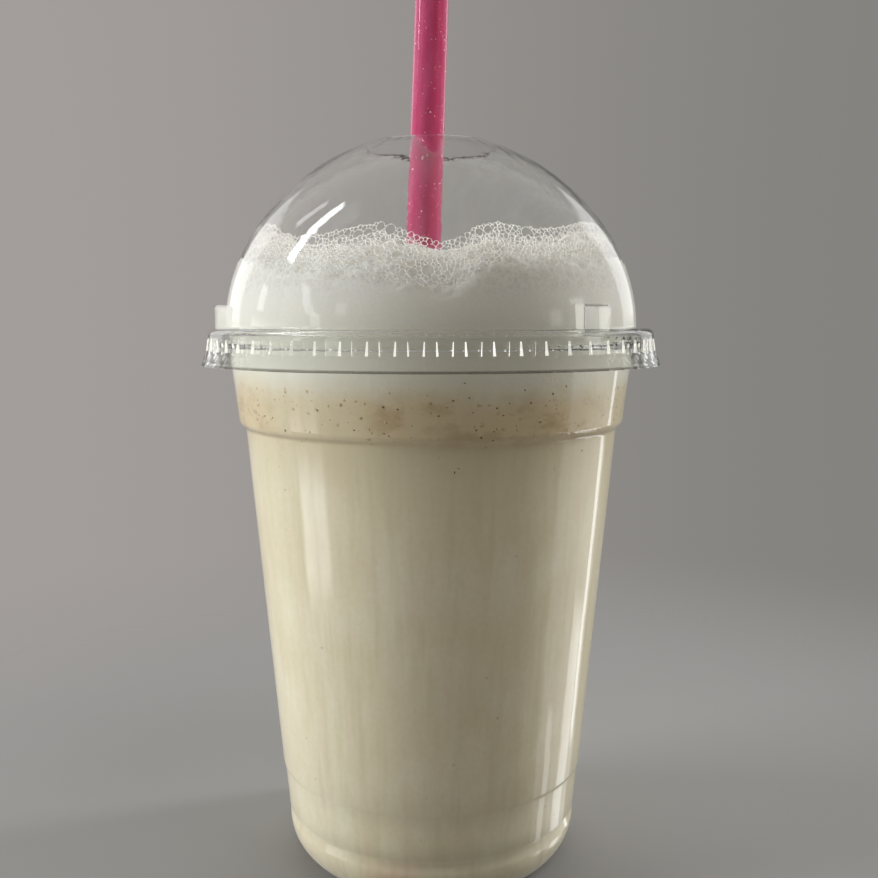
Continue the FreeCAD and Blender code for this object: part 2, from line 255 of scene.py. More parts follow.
def bump(tree, height, strength, distance):
    """A normal that leans as a fine relief would."""
    inputs = {"Height": height, "Strength": strength, "Distance": distance}
    return value_of(tree, "Bump", "Normal", inputs)


def new_material(name):
    """An empty material, its node tree and the place on the object, in metres."""
    material = bpy.data.materials.new(name)
    material.use_nodes = True
    tree = material.node_tree
    tree.nodes.clear()
    return material, tree, add(tree, "ShaderNodeTexCoord").outputs["Object"]


def shader(tree, kind, colour, **amounts):
    """A shader with its colour and its other inputs by name, with _ for each space."""
    node = add(tree, "ShaderNodeBsdf" + kind)
    feed(tree, node.inputs[0], colour)
    for name, amount in amounts.items():
        feed(tree, node.inputs[name.replace("_", " ")], amount)
    return node.outputs[0]


def mixed(tree, share, first, second):
    """Two shaders mixed by a share."""
    return value_of(tree, "MixShader", 0, {0: share, 1: first, 2: second})


def show(tree, seen):
    """Makes a shader the material's surface."""
    link(tree, seen, add(tree, "ShaderNodeOutputMaterial").inputs["Surface"])


def light_path_mix(tree, seen, passed):
    """One shader for camera, glossy and transmission rays, and one that shadow and diffuse rays pass."""
    path = add(tree, "ShaderNodeLightPath")
    either = math_node(tree, "MAXIMUM", path.outputs["Is Shadow Ray"], path.outputs["Is Diffuse Ray"])
    show(tree, mixed(tree, either, seen, passed))


# ---------------------------------------------------------------- materials
WHITE = (1.0, 1.0, 1.0, 1.0)
# painted highlight: the white laid on the steep sides of the lid's flutes and lugs
FLUTE_HIGHLIGHT_WHITE = (0.9, 0.9, 0.88, 1)
# painted shade: the dark grey of the line along the lid skirt's foot
SKIRT_PAINTED_SHADE = (0.42, 0.41, 0.39, 1)


def flute_highlight_share(tree, place):
    """How far a point lies on the steep side of one of the lid's flutes, where a painted highlight whitens
    the plastic, fully below the rim and less on the lugs above it, and its height."""
    outward = vector_node(tree, "NORMALIZE", vector_node(tree, "MULTIPLY", place, (1.0, 1.0, 0.0)))
    facing = add(tree, "ShaderNodeNewGeometry").outputs["True Normal"]
    turned = parts_of(tree, vector_node(tree, "CROSS_PRODUCT", outward, facing))["Z"]
    steep = ramp(tree, math_node(tree, "ABSOLUTE", turned), 0.25, 0.5)
    level = parts_of(tree, place)["Z"]
    below = ramp(tree, level, RIM_LEVEL - 1.5 * MM, RIM_LEVEL - 1.3 * MM, 1.0, 0.3)
    return math_node(tree, "MULTIPLY", steep, below), level


def clear_plastic(name, tint, roughness, wave, fluted=False):
    """Thermoformed clear plastic: faintly wavy, with fine upright draw lines."""
    material, tree, place = new_material(name)
    base = tint
    if fluted:
        white, level = flute_highlight_share(tree, place)
        # painted shade: the plastic turns dark grey in a thin line along the skirt's foot
        edge = ramp(tree, level, SKIRT_LEVEL + 0.3 * MM, SKIRT_LEVEL + 0.6 * MM)
        base = blend_colour(tree, edge, SKIRT_PAINTED_SHADE, tint)
    rough = ramp(tree, noise_node(tree, place, 90.0, 2.0), 0.3, 0.75, roughness * 0.7, roughness * 1.6)
    waves = noise_node(tree, place, 55.0, 1.0)
    lines = noise_node(tree, stretched(tree, place, (900.0, 900.0, 14.0)), 1.0, 2.0)
    height = math_node(tree, "ADD", waves, math_node(tree, "MULTIPLY", lines, 0.05))
    normal = bump(tree, height, wave, 0.6 * MM)
    seen = shader(tree, "Principled", base, Transmission_Weight=1.0, IOR=1.5, Roughness=rough, Normal=normal)
    # painted highlight: a white diffuse and translucent layer mixed onto the flutes' steep sides stands in
    # for their bright edges
    if fluted:
        sides = {0: shader(tree, "Translucent", FLUTE_HIGHLIGHT_WHITE), 1: shader(tree, "Diffuse", FLUTE_HIGHLIGHT_WHITE)}
        painted_highlight = value_of(tree, "AddShader", 0, sides)
        seen = mixed(tree, math_node(tree, "MULTIPLY", white, 0.6), seen, painted_highlight)
    light_path_mix(tree, seen, shader(tree, "Transparent", tint))
    return material


def straw_plastic():
    """Translucent pink plastic with a few streaks along the straw."""
    material, tree, place = new_material("straw_pink")
    streak = noise_node(tree, stretched(tree, place, (500.0, 500.0, 30.0)), 1.0, 2.0)
    colour = blend_colour(tree, ramp(tree, streak, 0.3, 0.7), srgb(240, 146, 192), srgb(230, 122, 172))
    body = shader(tree, "Principled", colour, Transmission_Weight=0.72, Roughness=0.12, IOR=1.45)
    light_path_mix(tree, body, shader(tree, "Transparent", srgb(236, 110, 150)))
    return material


def straw_distance(tree, position):
    """How far a point lies from the straw's axis."""
    away = vector_node(tree, "SUBTRACT", position, STRAW_FOOT)
    return vector_node(tree, "LENGTH", vector_node(tree, "CROSS_PRODUCT", away, STRAW_LEAN))


DRINK_CREAM = srgb(232, 222, 193)
DRINK_PALE = srgb(238, 231, 207)
DRINK_STREAK = srgb(224, 206, 180)  # the upright streaks
DRINK_BAND = srgb(214, 208, 172)
DRINK_PAINTED_SHADE = srgb(206, 193, 163)  # painted shade on the cream's top, under the tan band
BAND_TAN = srgb(218, 198, 162)
BAND_BROWN = srgb(186, 158, 120)
FOAM_CREAM = srgb(234, 232, 220)
PINK_GLOW = srgb(206, 70, 112)


def drink_colour(tree, place):
    """Cream below, with painted shade darkening its top, a tan blotched band under the froth, and pale froth
    above it, by height.
    """
    height = parts_of(tree, place)["Z"]
    soft = noise_node(tree, place, 60.0, 4.0, 0.6)
    upright = noise_node(tree, stretched(tree, place, (260.0, 260.0, 22.0)), 1.0, 3.0)
    base = blend_colour(tree, ramp(tree, soft, 0.35, 0.7), DRINK_CREAM, DRINK_PALE)
    base = blend_colour(tree, ramp(tree, upright, 0.4, 0.75, 0.0, 0.4), base, DRINK_STREAK)
    bands = noise_node(tree, stretched(tree, place, (520.0, 520.0, 16.0)), 1.0, 2.0)
    base = blend_colour(tree, ramp(tree, bands, 0.45, 0.75, 0.0, 0.35), base, DRINK_BAND)
    # painted shade: the cream darkens from 82 to 98 mm up, under the band and the cup's shoulder
    shade = ramp(tree, height, 82 * MM, 98 * MM, 0.0, 0.45)
    base = blend_colour(tree, shade, base, DRINK_PAINTED_SHADE)
    wander = math_node(tree, "MULTIPLY", math_node(tree, "SUBTRACT", soft, 0.5), 9 * MM)
    level = math_node(tree, "ADD", height, wander)
    above = ramp(tree, level, 96 * MM, 101 * MM)
    below = ramp(tree, level, 104 * MM, 111 * MM, 1.0, 0.0)
    band = math_node(tree, "MULTIPLY", above, below)
    blotch = noise_node(tree, stretched(tree, place, (1.0, 1.0, 1.6)), 130.0, 4.0, 0.65)
    tan = blend_colour(tree, ramp(tree, blotch, 0.42, 0.68), BAND_TAN, BAND_BROWN)
    patchy = ramp(tree, noise_node(tree, place, 32.0, 2.0), 0.42, 0.62, 0.15, 0.75)
    base = blend_colour(tree, math_node(tree, "MULTIPLY", band, patchy), base, tan)
    base = blend_colour(tree, ramp(tree, level, 105 * MM, 113 * MM), base, FOAM_CREAM)
    away = straw_distance(tree, place)
    sharp = ramp(tree, away, 3.8 * MM, 5.4 * MM, 0.95, 0.0)
    soft_edge = ramp(tree, away, 4 * MM, 9 * MM, 0.3, 0.0)
    foot = math_node(tree, "MULTIPLY", sharp, ramp(tree, height, 5 * MM, 9 * MM, 1.0, 0.0))
    halo = math_node(tree, "MULTIPLY", soft_edge, ramp(tree, height, 4 * MM, 13 * MM, 1.0, 0.0))
    neck = math_node(tree, "MULTIPLY", soft_edge, ramp(tree, height, 127 * MM, 131 * MM))
    share = math_node(tree, "MAXIMUM", math_node(tree, "MAXIMUM", foot, halo), neck)
    return blend_colour(tree, share, base, PINK_GLOW)


def wet_body(tree, colour, height, strength, roughness, scatter=0.0):
    """A moist body, with light scattered inside it by a share."""
    body = shader(
        tree,
        "Principled",
        colour,
        Roughness=roughness,
        Specular_IOR_Level=0.15,
        Subsurface_Weight=scatter,
        Subsurface_Radius=(1.0, 0.9, 0.78),
        Subsurface_Scale=7 * MM,
        Normal=bump(tree, height, strength, 0.2 * MM),
    )
    show(tree, body)


def drink_material():
    """Blended banana with a fine grain."""
    material, tree, place = new_material("drink_cream")
    fine = noise_node(tree, place, 900.0, 3.0, 0.6)
    grain = ramp(tree, fine, 0.35, 0.65, 0.0, 0.12)
    base = blend_colour(tree, grain, drink_colour(tree, place), srgb(205, 192, 160))
    wet_body(tree, base, fine, 0.08, 0.55)
    return material


def foam_material():
    """Wet froth: pale, slightly translucent and finely pitted, with painted shade in the middles of its
    cells near its top, deepest on faces turned up.
    """
    material, tree, place = new_material("foam_froth")
    pits = ramp(tree, cell_node(tree, place, 1300.0, "F1"), 0.0, 0.6)
    height = parts_of(tree, place)["Z"]
    high = ramp(tree, height, 113 * MM, 130 * MM, 0.0, 0.9)
    base = blend_colour(tree, high, drink_colour(tree, place), srgb(238, 237, 234))
    pitted = math_node(tree, "MULTIPLY", pits, ramp(tree, height, 110 * MM, 120 * MM, 0.0, 0.1))
    dim = blend_colour(tree, pitted, base, srgb(196, 190, 172))
    # painted shade inside the bubbles: the middles of the cells darken near the top, more on faces turned up
    facing = parts_of(tree, add(tree, "ShaderNodeNewGeometry").outputs["Normal"])["Z"]
    level = ramp(tree, facing, 0.4, 0.9, 1.0, 2.2)
    cell_shade_share = math_node(tree, "MULTIPLY", ramp(tree, height, 125 * MM, 131 * MM), level)
    for scale, depth in ((430.0, 0.22), (900.0, 0.25)):
        inside = ramp(tree, cell_node(tree, place, scale), 0.04, 0.22, 0.0, depth)
        dim = blend_colour(tree, math_node(tree, "MULTIPLY", inside, cell_shade_share), dim, srgb(196, 193, 188))
    scatter = ramp(tree, height, 113 * MM, 124 * MM, 0.0, 0.8)
    wet_body(tree, dim, pits, 0.1, 0.45, scatter)
    return material


def mist_material():
    """Froth too fine to part into bubbles: cloudy near the dense froth and clear towards its top."""
    material, tree, place = new_material("foam_mist")
    cloud = add(tree, "ShaderNodeAttribute", attribute_name="cloud").outputs["Fac"]
    edges = ramp(tree, cell_node(tree, place, 750.0), 0.02, 0.4, 1.0, 0.35)
    patches = ramp(tree, noise_node(tree, place, 220.0, 3.0, 0.6), 0.3, 0.65, 0.5, 1.0)
    share = math_node(tree, "MULTIPLY", math_node(tree, "MULTIPLY", edges, patches), cloud, clamp=True)
    body = shader(tree, "Diffuse", srgb(240, 238, 233))
    lit = shader(tree, "Translucent", srgb(244, 241, 236))
    show(tree, mixed(tree, share, shader(tree, "Transparent", WHITE), mixed(tree, 0.5, body, lit)))
    return material


def lace_material():
    """The liquid borders between bubbles: white, wet and lit through."""
    material, tree, place = new_material("foam_lace")
    soft = noise_node(tree, place, 300.0, 2.0)
    colour = blend_colour(tree, soft, srgb(234, 231, 227), srgb(250, 248, 245))
    body = shader(tree, "Principled", colour, Roughness=0.3)
    show(tree, mixed(tree, 0.4, body, shader(tree, "Translucent", colour)))
    return material


# ---------------------------------------------------------------- drink
def node_outline(node):
    """The outline of a turned CAD node, from the points of its mesh that lie on its seam at +X."""
    points = set()
    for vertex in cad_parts[node].data.vertices:
        x, y, z = vertex.co
        if x > 0 and abs(y) < 1e-6:
            points.add((round(x, 7), round(z, 7)))
    return sorted(points, key=lambda point: point[1])


def turn(name, outline, segments=192):
    """A closed turned mesh from (radius, height) points whose ends lie on the axis."""
    inner = outline[1:-1]
    vertices = []
    for radius, height in inner:
        vertices += ring_points(segments, radius, height)
    tip = len(vertices)
    vertices += [Vector((0, 0, outline[0][1])), Vector((0, 0, outline[-1][1]))]
    faces = ring_quads(segments, len(inner)) + fan(segments, 0, tip, flip=True)
    faces += fan(segments, tip - segments, tip + 1)
    return object_from(name, vertices, faces)


def wall_radius(height, inset):
    """The radius of the dome, moved in by an inset, at a height."""
    centre, level, arc = SIDE_ARC if height < SIDE_TOP else CROWN_ARC
    arc = arc - inset
    return centre + math.sqrt(max(arc**2 - (height - level) ** 2, 0))


def foam_top(x, y):
    """The height of the froth's lacy top over a point."""
    height = FOAM_MEAN
    for bearing, reach, rise, spread in FOAM_MOUNDS:
        mound = on_bearing(math.radians(bearing), reach * MM)
        away = math.hypot(x - mound.x, y - mound.y) / (spread * MM)
        height += rise * MM * math.exp(-(away**2))
    return height


CORE_SEGMENTS = 448
CORE_SIDE_ROWS = 40
CORE_CAP_ROWS = 42
CORE_START = 119.5 * MM  # where its own side starts, over the outline that the CAD foam gives it
CORE_INSET = 1.8 * MM  # how far its edge stands in from the wall
CORE_DROP = 4.6 * MM  # how far its edge lies under the lacy top


def make_core(material):
    """The dense froth: against the wall low down, drawn in from it near its top."""
    vertices = []
    for radius, height in node_outline("foam"):
        if height < 119 * MM:
            vertices += ring_points(CORE_SEGMENTS, radius + FILL_GAP + SINK, height)
    for row in range(CORE_SIDE_ROWS + CORE_CAP_ROWS):
        for step in range(CORE_SEGMENTS):
            vertices.append(core_point(2 * math.pi * step / CORE_SEGMENTS, row))
    tip = len(vertices)
    last = tip - CORE_SEGMENTS
    centre = sum(vertices[last:], Vector()) / CORE_SEGMENTS
    vertices += [Vector((0, 0, FOAM_FOOT - SINK)), centre]
    faces = ring_quads(CORE_SEGMENTS, tip // CORE_SEGMENTS) + fan(CORE_SEGMENTS, 0, tip, flip=True)
    faces += fan(CORE_SEGMENTS, last, tip + 1)
    core = object_from("foam_core", vertices, faces)
    cut_away(core, straw_cutter(STRAW_RADIUS + FILL_GAP))
    return finish_piece(core, material, "foam")


def wall_spot(bearing):
    """Where the froth's top is worked out for the wall at a bearing."""
    return on_bearing(bearing, 40 * MM)


def core_edge(bearing):
    """The height at which the dense froth turns over into its top."""
    wall = wall_spot(bearing)
    return foam_top(wall.x, wall.y) - CORE_DROP + 0.9 * MM * lump(wall.x, wall.y, 0.3, 120)


def contact_level(bearing):
    """The height up to which the dense froth lies against the wall, lowest where the cells show most."""
    wall = wall_spot(bearing)
    turned = (math.degrees(bearing) + 180) % 360 - 180
    celled = math.exp(-(((turned + 10) / 17) ** 2))
    depth = 4.0 + 3.6 * celled + 1.2 * lump(wall.x, wall.y, 0.8, 90)
    return core_edge(bearing) - depth * MM


def bulge(point, size):
    """Rounded bubbles of a size, as a height between 0 at their borders and 1."""
    near, following = noise.voronoi(point / size)[0][:2]
    return math.sqrt(min(1.0, (following - near) * 1.6))


def core_point(bearing, row):
    """A point of the dense froth's surface, row by row up its side and then in over its top."""
    edge = core_edge(bearing)
    if row < CORE_SIDE_ROWS:
        share = row / (CORE_SIDE_ROWS - 1)
        height = CORE_START + (edge - CORE_START) * share
        contact = contact_level(bearing)
        free = max(0.0, (height - contact) / (edge - contact))
        inset = LID_WALL - SINK + CORE_INSET * free**1.6
        point = on_bearing(bearing, wall_radius(height, inset), height)
        dent = lump(point.x, point.y, point.z, 330) * 0.35 + lump(point.x, point.y, point.z, 900) * 0.2
        dent += 0.5 * bulge(point, 2.2 * MM) + 0.25 * bulge(point, 1.1 * MM) - 0.45
        return point + on_bearing(bearing, dent * MM * min(1.0, free * 3))
    share = (row - CORE_SIDE_ROWS + 1) / CORE_CAP_ROWS
    rim = wall_radius(edge, LID_WALL - SINK + CORE_INSET)
    radius = rim * (1 - share * 0.985)
    point = on_bearing(bearing, radius, edge)
    middle = FOAM_MEAN - 3.8 * MM
    lift = 1 - (radius / rim) ** 5
    point.z = edge + (middle - edge) * lift + 0.5 * MM * min(1.0, share * 12)
    rough = lump(point.x, point.y, 0.2, 260) * 0.6 + 0.85 * bulge(point, 2.6 * MM)
    point.z += (rough + 0.35 * bulge(point, 1.2 * MM)) * MM
    return point


def straw_cutter(radius, bore=None):
    """A long rod, or a tube, where the straw goes through the drink."""
    sides = 48
    length = 0.2
    across = STRAW_LEAN.to_track_quat("Z", "Y").to_matrix()
    start = STRAW_FOOT - STRAW_LEAN * FILL_GAP
    rings = [(radius, 0.0), (radius, length)]
    if bore:
        rings += [(bore, length), (bore, 0.0)]
    vertices = []
    for reach, along in rings:
        for step in range(sides):
            angle = 2 * math.pi * step / sides
            spot = Vector((reach * math.cos(angle), reach * math.sin(angle), along))
            vertices.append(start + across @ spot)
    faces = []
    count = len(rings)
    for ring in range(count if bore else 1):
        for step in range(sides):
            following = (step + 1) % sides
            low = ring * sides
            high = ((ring + 1) % count) * sides
            faces.append((low + step, low + following, high + following, high + step))
    if not bore:
        faces.append(tuple(reversed(range(sides))))
        faces.append(tuple(range(sides, 2 * sides)))
    return object_from("cutter", vertices, faces, smooth=False)


def cut_away(piece, cutter):
    """Takes the cutter out of a piece and removes the cutter."""
    modifier = piece.modifiers.new("room", "BOOLEAN")
    modifier.operation = "DIFFERENCE"
    modifier.solver = "EXACT"
    modifier.object = cutter
    graph = bpy.context.evaluated_depsgraph_get()
    mesh = bpy.data.meshes.new_from_object(piece.evaluated_get(graph))
    piece.modifiers.clear()
    piece.data = mesh
    bpy.data.objects.remove(cutter)


def filling_outline(node):
    """A filling's outline from the axis round its outside to the axis, pushed out into the wall."""
    points = node_outline(node)
    low = min(points, key=lambda point: point[0])
    chain = [low]
    points.remove(low)
    while points:
        last = chain[-1]
        nearest = min(points, key=lambda point: math.dist(point, last))
        chain.append(nearest)
        points.remove(nearest)
    chain = [(0.0, chain[0][1])] + chain + [(0.0, chain[-1][1])]
    pushed = []
    for index in range(1, len(chain) - 1):
        before, here, after = chain[index - 1 : index + 2]
        along = Vector((after[0] - before[0], after[1] - before[1])).normalized()
        reach = FILL_GAP + SINK
        if index == len(chain) - 2:
            pushed.append((here[0] + reach, here[1]))
        else:
            pushed.append((here[0] + along.y * reach, here[1] - along.x * reach))
    return [(0.0, pushed[0][1])] + pushed + [(0.0, pushed[-1][1])]


def make_drink(material):
    """The smoothie and the speckled layer, each reaching a little into the cup's wall."""
    drink = turn("smoothie_body", filling_outline("smoothie"))
    cut_away(drink, straw_cutter(STRAW_RADIUS + FILL_GAP, STRAW_BORE - FILL_GAP))
    finish_piece(drink, material, "smoothie")
    seam = node_outline("speckled_layer")
    reach = FILL_GAP + SINK
    sides = [(radius + reach, height) for radius, height in seam]
    layer = turn("speckled_body", [(0.0, seam[0][1])] + sides + [(0.0, seam[-1][1])])
    cut_away(layer, straw_cutter(STRAW_RADIUS + FILL_GAP))
    finish_piece(layer, material, "speckled_layer")


# ---------------------------------------------------------------- bubbles
GRID = 0.1 * MM  # the spacing of the map on which bubbles are packed
VOID = -1
BUBBLE_REACH = 1.8 * MM  # how far past its skin a bubble is drawn on the map
EDGE_SHARE = 0.9  # how far a bubble's middle stays inside the sheet's edge, in radii
BATCH = 160  # how many bubbles are tried before the free spots are listed again


class BubbleMap:
    """A map of round bubbles packed on a sheet that closes on itself along its first axis. room is how
    far each spot lies inside the sheet's edge."""

    def __init__(self, room):
        self.room = room
        self.shape = room.shape
        self.around = self.shape[0] * GRID
        self.clear = np.full(self.shape, 1.0)  # the distance to the nearest bubble's skin
        self.power = np.full(self.shape, 1.0)
        self.label = np.full(self.shape, VOID, dtype=np.int64)
        self.bubbles = []

    def nearest(self, across):
        """A step along the first axis, taken the short way round."""
        return (across + self.around / 2) % self.around - self.around / 2

    def span(self, centre, reach, axis):
        """The rows or columns within a reach of a centre, and how far each lies from it."""
        first = math.floor((centre - reach) / GRID)
        steps = np.arange(first, first + int(2 * reach / GRID) + 2)
        if axis == 1:
            steps = steps[(steps >= 0) & (steps < self.shape[1])]
        return steps % self.shape[axis], steps * GRID - centre

    def put(self, u, v, radius):
        rows, across = self.span(u, radius + BUBBLE_REACH, 0)
        columns, up = self.span(v, radius + BUBBLE_REACH, 1)
        block = np.ix_(rows, columns)
        squared = across[:, None] ** 2 + up[None, :] ** 2
        self.clear[block] = np.minimum(self.clear[block], np.sqrt(squared) - radius)
        power = squared - radius**2
        nearer = power < self.power[block]
        self.power[block] = np.where(nearer, power, self.power[block])
        self.label[block] = np.where(nearer, len(self.bubbles), self.label[block])
        self.bubbles.append((u, v, radius))

    def fits(self, row, column, radius, crowd):
        """Whether a bubble has room, crowd radii from the others' skins, and inside the edge."""
        return self.clear[row, column] > radius * crowd and self.room[row, column] > radius * EDGE_SHARE

    def cluster(self, rng, bearing, height, across, up, count, largest):
        """Puts a number of large bubbles round a bearing, given as BUBBLE_CLUSTERS has it."""
        placed = 0
        for _ in range(60 * count):
            u = math.radians(bearing + across * rng.standard_normal()) * WALL_REACH
            v = (height + up * rng.standard_normal()) * MM - WALL_FOOT
            radius = (0.42 + 0.58 * rng.random()) * largest * MM
            row = int(u / GRID) % self.shape[0]
            column = int(v / GRID)
            if 0 <= column < self.shape[1] and self.fits(row, column, radius, 0.92):
                self.put(u % self.around, v, radius)
                placed += 1
            if placed == count:
                return

    def fill(self, rng, smallest, largest, tries, crowd):
        """Drops bubbles at random where there is still room, up to a number of tries."""
        for _ in range(tries // BATCH):
            radius = smallest + (largest - smallest) * rng.random() ** 2
            free = np.argwhere((self.clear > radius * crowd) & (self.room > radius * EDGE_SHARE))
            if not len(free):
                return
            for row, column in free[rng.integers(0, len(free), BATCH)]:
                radius = smallest + (largest - smallest) * rng.random() ** 2
                if self.fits(row, column, radius, crowd):
                    self.put(row * GRID, column * GRID, radius)


def meeting_points(bubble_map, gap):
    """Where three bubbles, or two and the open air, meet: their labels and the place."""
    label = np.where((bubble_map.clear > gap) | (bubble_map.room < -gap), VOID, bubble_map.label)
    bubble_map.label = label
    right = np.roll(label, -1, axis=0)
    stack = np.stack([label[:, :-1], label[:, 1:], right[:, :-1], right[:, 1:]], axis=-1)
    ordered = np.sort(stack, axis=-1)
    changes = (np.diff(ordered, axis=-1) != 0).sum(axis=-1)
    found = {}
    for u, v in np.argwhere(changes >= 2):
        names = sorted(set(ordered[u, v].tolist()))
        place = ((u + 0.5) * GRID, (v + 0.5) * GRID)
        for three in {tuple(names[:3]), tuple(names[-3:])}:
            found.setdefault(three, []).append(place)
    return found


def power_point(bubble_map, three, place):
    """The exact point with equal power to three bubbles, near a place."""
    spots = []
    for name in three:
        u, v, radius = bubble_map.bubbles[name]
        spots.append((bubble_map.nearest(u - place[0]), v - place[1], radius))
    (x1, y1, r1), (x2, y2, r2), (x3, y3, r3) = spots
    a, b = 2 * (x2 - x1), 2 * (y2 - y1)
    c, d = 2 * (x3 - x1), 2 * (y3 - y1)
    e = x2**2 + y2**2 - r2**2 - x1**2 - y1**2 + r1**2
    f = x3**2 + y3**2 - r3**2 - x1**2 - y1**2 + r1**2
    scale = a * d - b * c
    if abs(scale) < 1e-12:
        return place
    x, y = (e * d - b * f) / scale, (a * f - e * c) / scale
    if math.hypot(x, y) > 0.3 * MM:
        return place
    return place[0] + x, place[1] + y


def drawn_in(bubble_map, three, place, gap):
    """A place on the net's outer edge, moved in to the outline of the two bubbles beside it."""
    across = 0.0
    up = 0.0
    for name in three[1:]:
        u, v, _ = bubble_map.bubbles[name]
        across += bubble_map.nearest(u - place[0]) / 2
        up += (v - place[1]) / 2
    length = max(math.hypot(across, up), 1e-6)
    return place[0] + across / length * gap * 0.9, place[1] + up / length * gap * 0.9


def borders(bubble_map, gap):
    """The borders between bubbles, each a list of points on the sheet."""
    joints = {}
    points = []
    for three, places in meeting_points(bubble_map, gap).items():
        place = places[0]
        if VOID in three:
            place = drawn_in(bubble_map, three, place, gap)
        else:
            place = power_point(bubble_map, three, place)
        for pair in ((three[0], three[1]), (three[0], three[2]), (three[1], three[2])):
            joints.setdefault(pair, []).append(len(points))
        points.append(place)
    lines = []
    for (first, second), ends in joints.items():
        if first != VOID:
            for one, two in zip(ends[::2], ends[1::2]):
                lines.append([points[one], points[two]])
            continue
        u, v, radius = bubble_map.bubbles[second]
        angles = []
        for end in ends:
            angles.append(math.atan2(points[end][1] - v, bubble_map.nearest(points[end][0] - u)))
        angles.sort()
        for index, start in enumerate(angles):
            stop = angles[(index + 1) % len(angles)]
            sweep = (stop - start) % (2 * math.pi)
            middle = start + sweep / 2
            reach = radius + gap + 1.5 * GRID
            row = int(round((u + reach * math.cos(middle)) / GRID)) % bubble_map.shape[0]
            column = int(round((v + reach * math.sin(middle)) / GRID))
            if 0 <= column < bubble_map.shape[1] and bubble_map.label[row, column] != VOID:
                continue
            steps = max(2, int(sweep * 3))
            arc = [start + sweep * step / steps for step in range(steps + 1)]
            lines.append([(u + radius * math.cos(t), v + radius * math.sin(t)) for t in arc])
    return lines


def lace(name, bubble_map, gap, place, thin, thick, rng, material):
    """A net of fine liquid borders: a three-sided thread along each border and a bead where they meet."""
    starts = []
    stops = []
    joints = set()
    for line in borders(bubble_map, gap):
        joints.update((line[0], line[-1]))
        for one, two in zip(line, line[1:]):
            if abs(one[0] - two[0]) > bubble_map.around / 2:
                continue  # it crosses the seam where the map closes
            starts.append(place(*one))
            stops.append(place(*two))
    start = np.array(starts)
    stop = np.array(stops)
    along = stop - start
    length = np.linalg.norm(along, axis=1, keepdims=True)
    keep = (length[:, 0] > 0.02 * MM) & (length[:, 0] < 4 * MM)
    start, stop, along, length = start[keep], stop[keep], along[keep], length[keep]
    along = along / length
    middle = (start + stop) / 2
    out = from_axis(middle)
    side = np.cross(along, out)
    side /= np.linalg.norm(side, axis=1, keepdims=True)
    out = np.cross(side, along)
    radius = thin + (thick - thin) * rng.random((len(start), 1)) ** 2
    vertices = []
    for angle in (0.5, 0.5 + 2 / 3, 0.5 + 4 / 3):
        turned = out * math.cos(angle * math.pi) + side * math.sin(angle * math.pi)
        vertices.append(start - along * radius * 0.4 + turned * radius)
        vertices.append(stop + along * radius * 0.4 + turned * radius)
    count = len(start)
    corners = np.stack(vertices, axis=1).reshape(-1, 3)
    base = np.arange(count)[:, None] * 6
    sides = ([0, 1, 3, 2], [2, 3, 5, 4], [4, 5, 1, 0])
    faces = np.concatenate([base + np.array([corners_of]) for corners_of in sides]).tolist()
    centres = np.array([place(*joint) for joint in sorted(joints)])
    beads, shells = bead_mesh(centres, thick * 1.05)
    faces += (shells + len(corners)).tolist()
    piece = object_from(name, np.concatenate([corners, beads]).tolist(), faces)
    let_light_through(piece)
    return finish_piece(piece, material)


def let_light_through(piece):
    """Lets light reach what lies behind fine froth, as the many bubbles of real froth pass it on."""
    piece.visible_shadow = False
    piece.visible_diffuse = False


def bead_mesh(centres, radius):
    """A small octahedron at each centre."""
    tips = np.array([(1, 0, 0), (-1, 0, 0), (0, 1, 0), (0, -1, 0), (0, 0, 1), (0, 0, -1)]) * radius
    sides = [(0, 2, 4), (2, 1, 4), (1, 3, 4), (3, 0, 4), (2, 0, 5), (1, 2, 5), (3, 1, 5), (0, 3, 5)]
    corners = (centres[:, None, :] + tips[None]).reshape(-1, 3)
    faces = (np.arange(len(centres))[:, None, None] * 6 + np.array(sides)[None]).reshape(-1, 3)
    return corners, faces


WALL_FOOT = 124 * MM
WALL_HEAD = 143 * MM
WALL_REACH = 41.5 * MM  # the radius at which the wall's map is unrolled


def wall_map(low, fringe):
    """The map of the dome's inner wall up to the lacy top, from a depth under the dense froth's edge
    or, where none is given, from where that froth leaves the wall."""
    across = int(2 * math.pi * WALL_REACH / GRID)
    up = int((WALL_HEAD - WALL_FOOT) / GRID)
    bearings = np.arange(across) * GRID / WALL_REACH
    tops = []
    lows = []
    for bearing in bearings:
        spot = wall_spot(bearing)
        ripple = fringe * lump(spot.x, spot.y, 0.9, 420)
        tops.append(foam_top(spot.x, spot.y) - 0.2 * MM + ripple)
        lows.append(contact_level(bearing) - 0.6 * MM if low is None else core_edge(bearing) - low)
    heights = WALL_FOOT + np.arange(up) * GRID
    room = np.minimum(np.array(tops)[:, None] - heights[None], heights[None] - np.array(lows)[:, None])
    return BubbleMap(room)


def on_wall(inset):
    """Takes a point of the wall's map to the dome's inner wall, moved in by an inset."""

    def place(u, v):
        height = WALL_FOOT + v
        return on_bearing(u / WALL_REACH, wall_radius(height, LID_WALL + inset), height)

    return place


def from_axis(points):
    """Unit vectors that point away from the cup's axis."""
    out = points * np.array([[1, 1, 0.0]])
    return out / np.linalg.norm(out, axis=1, keepdims=True)


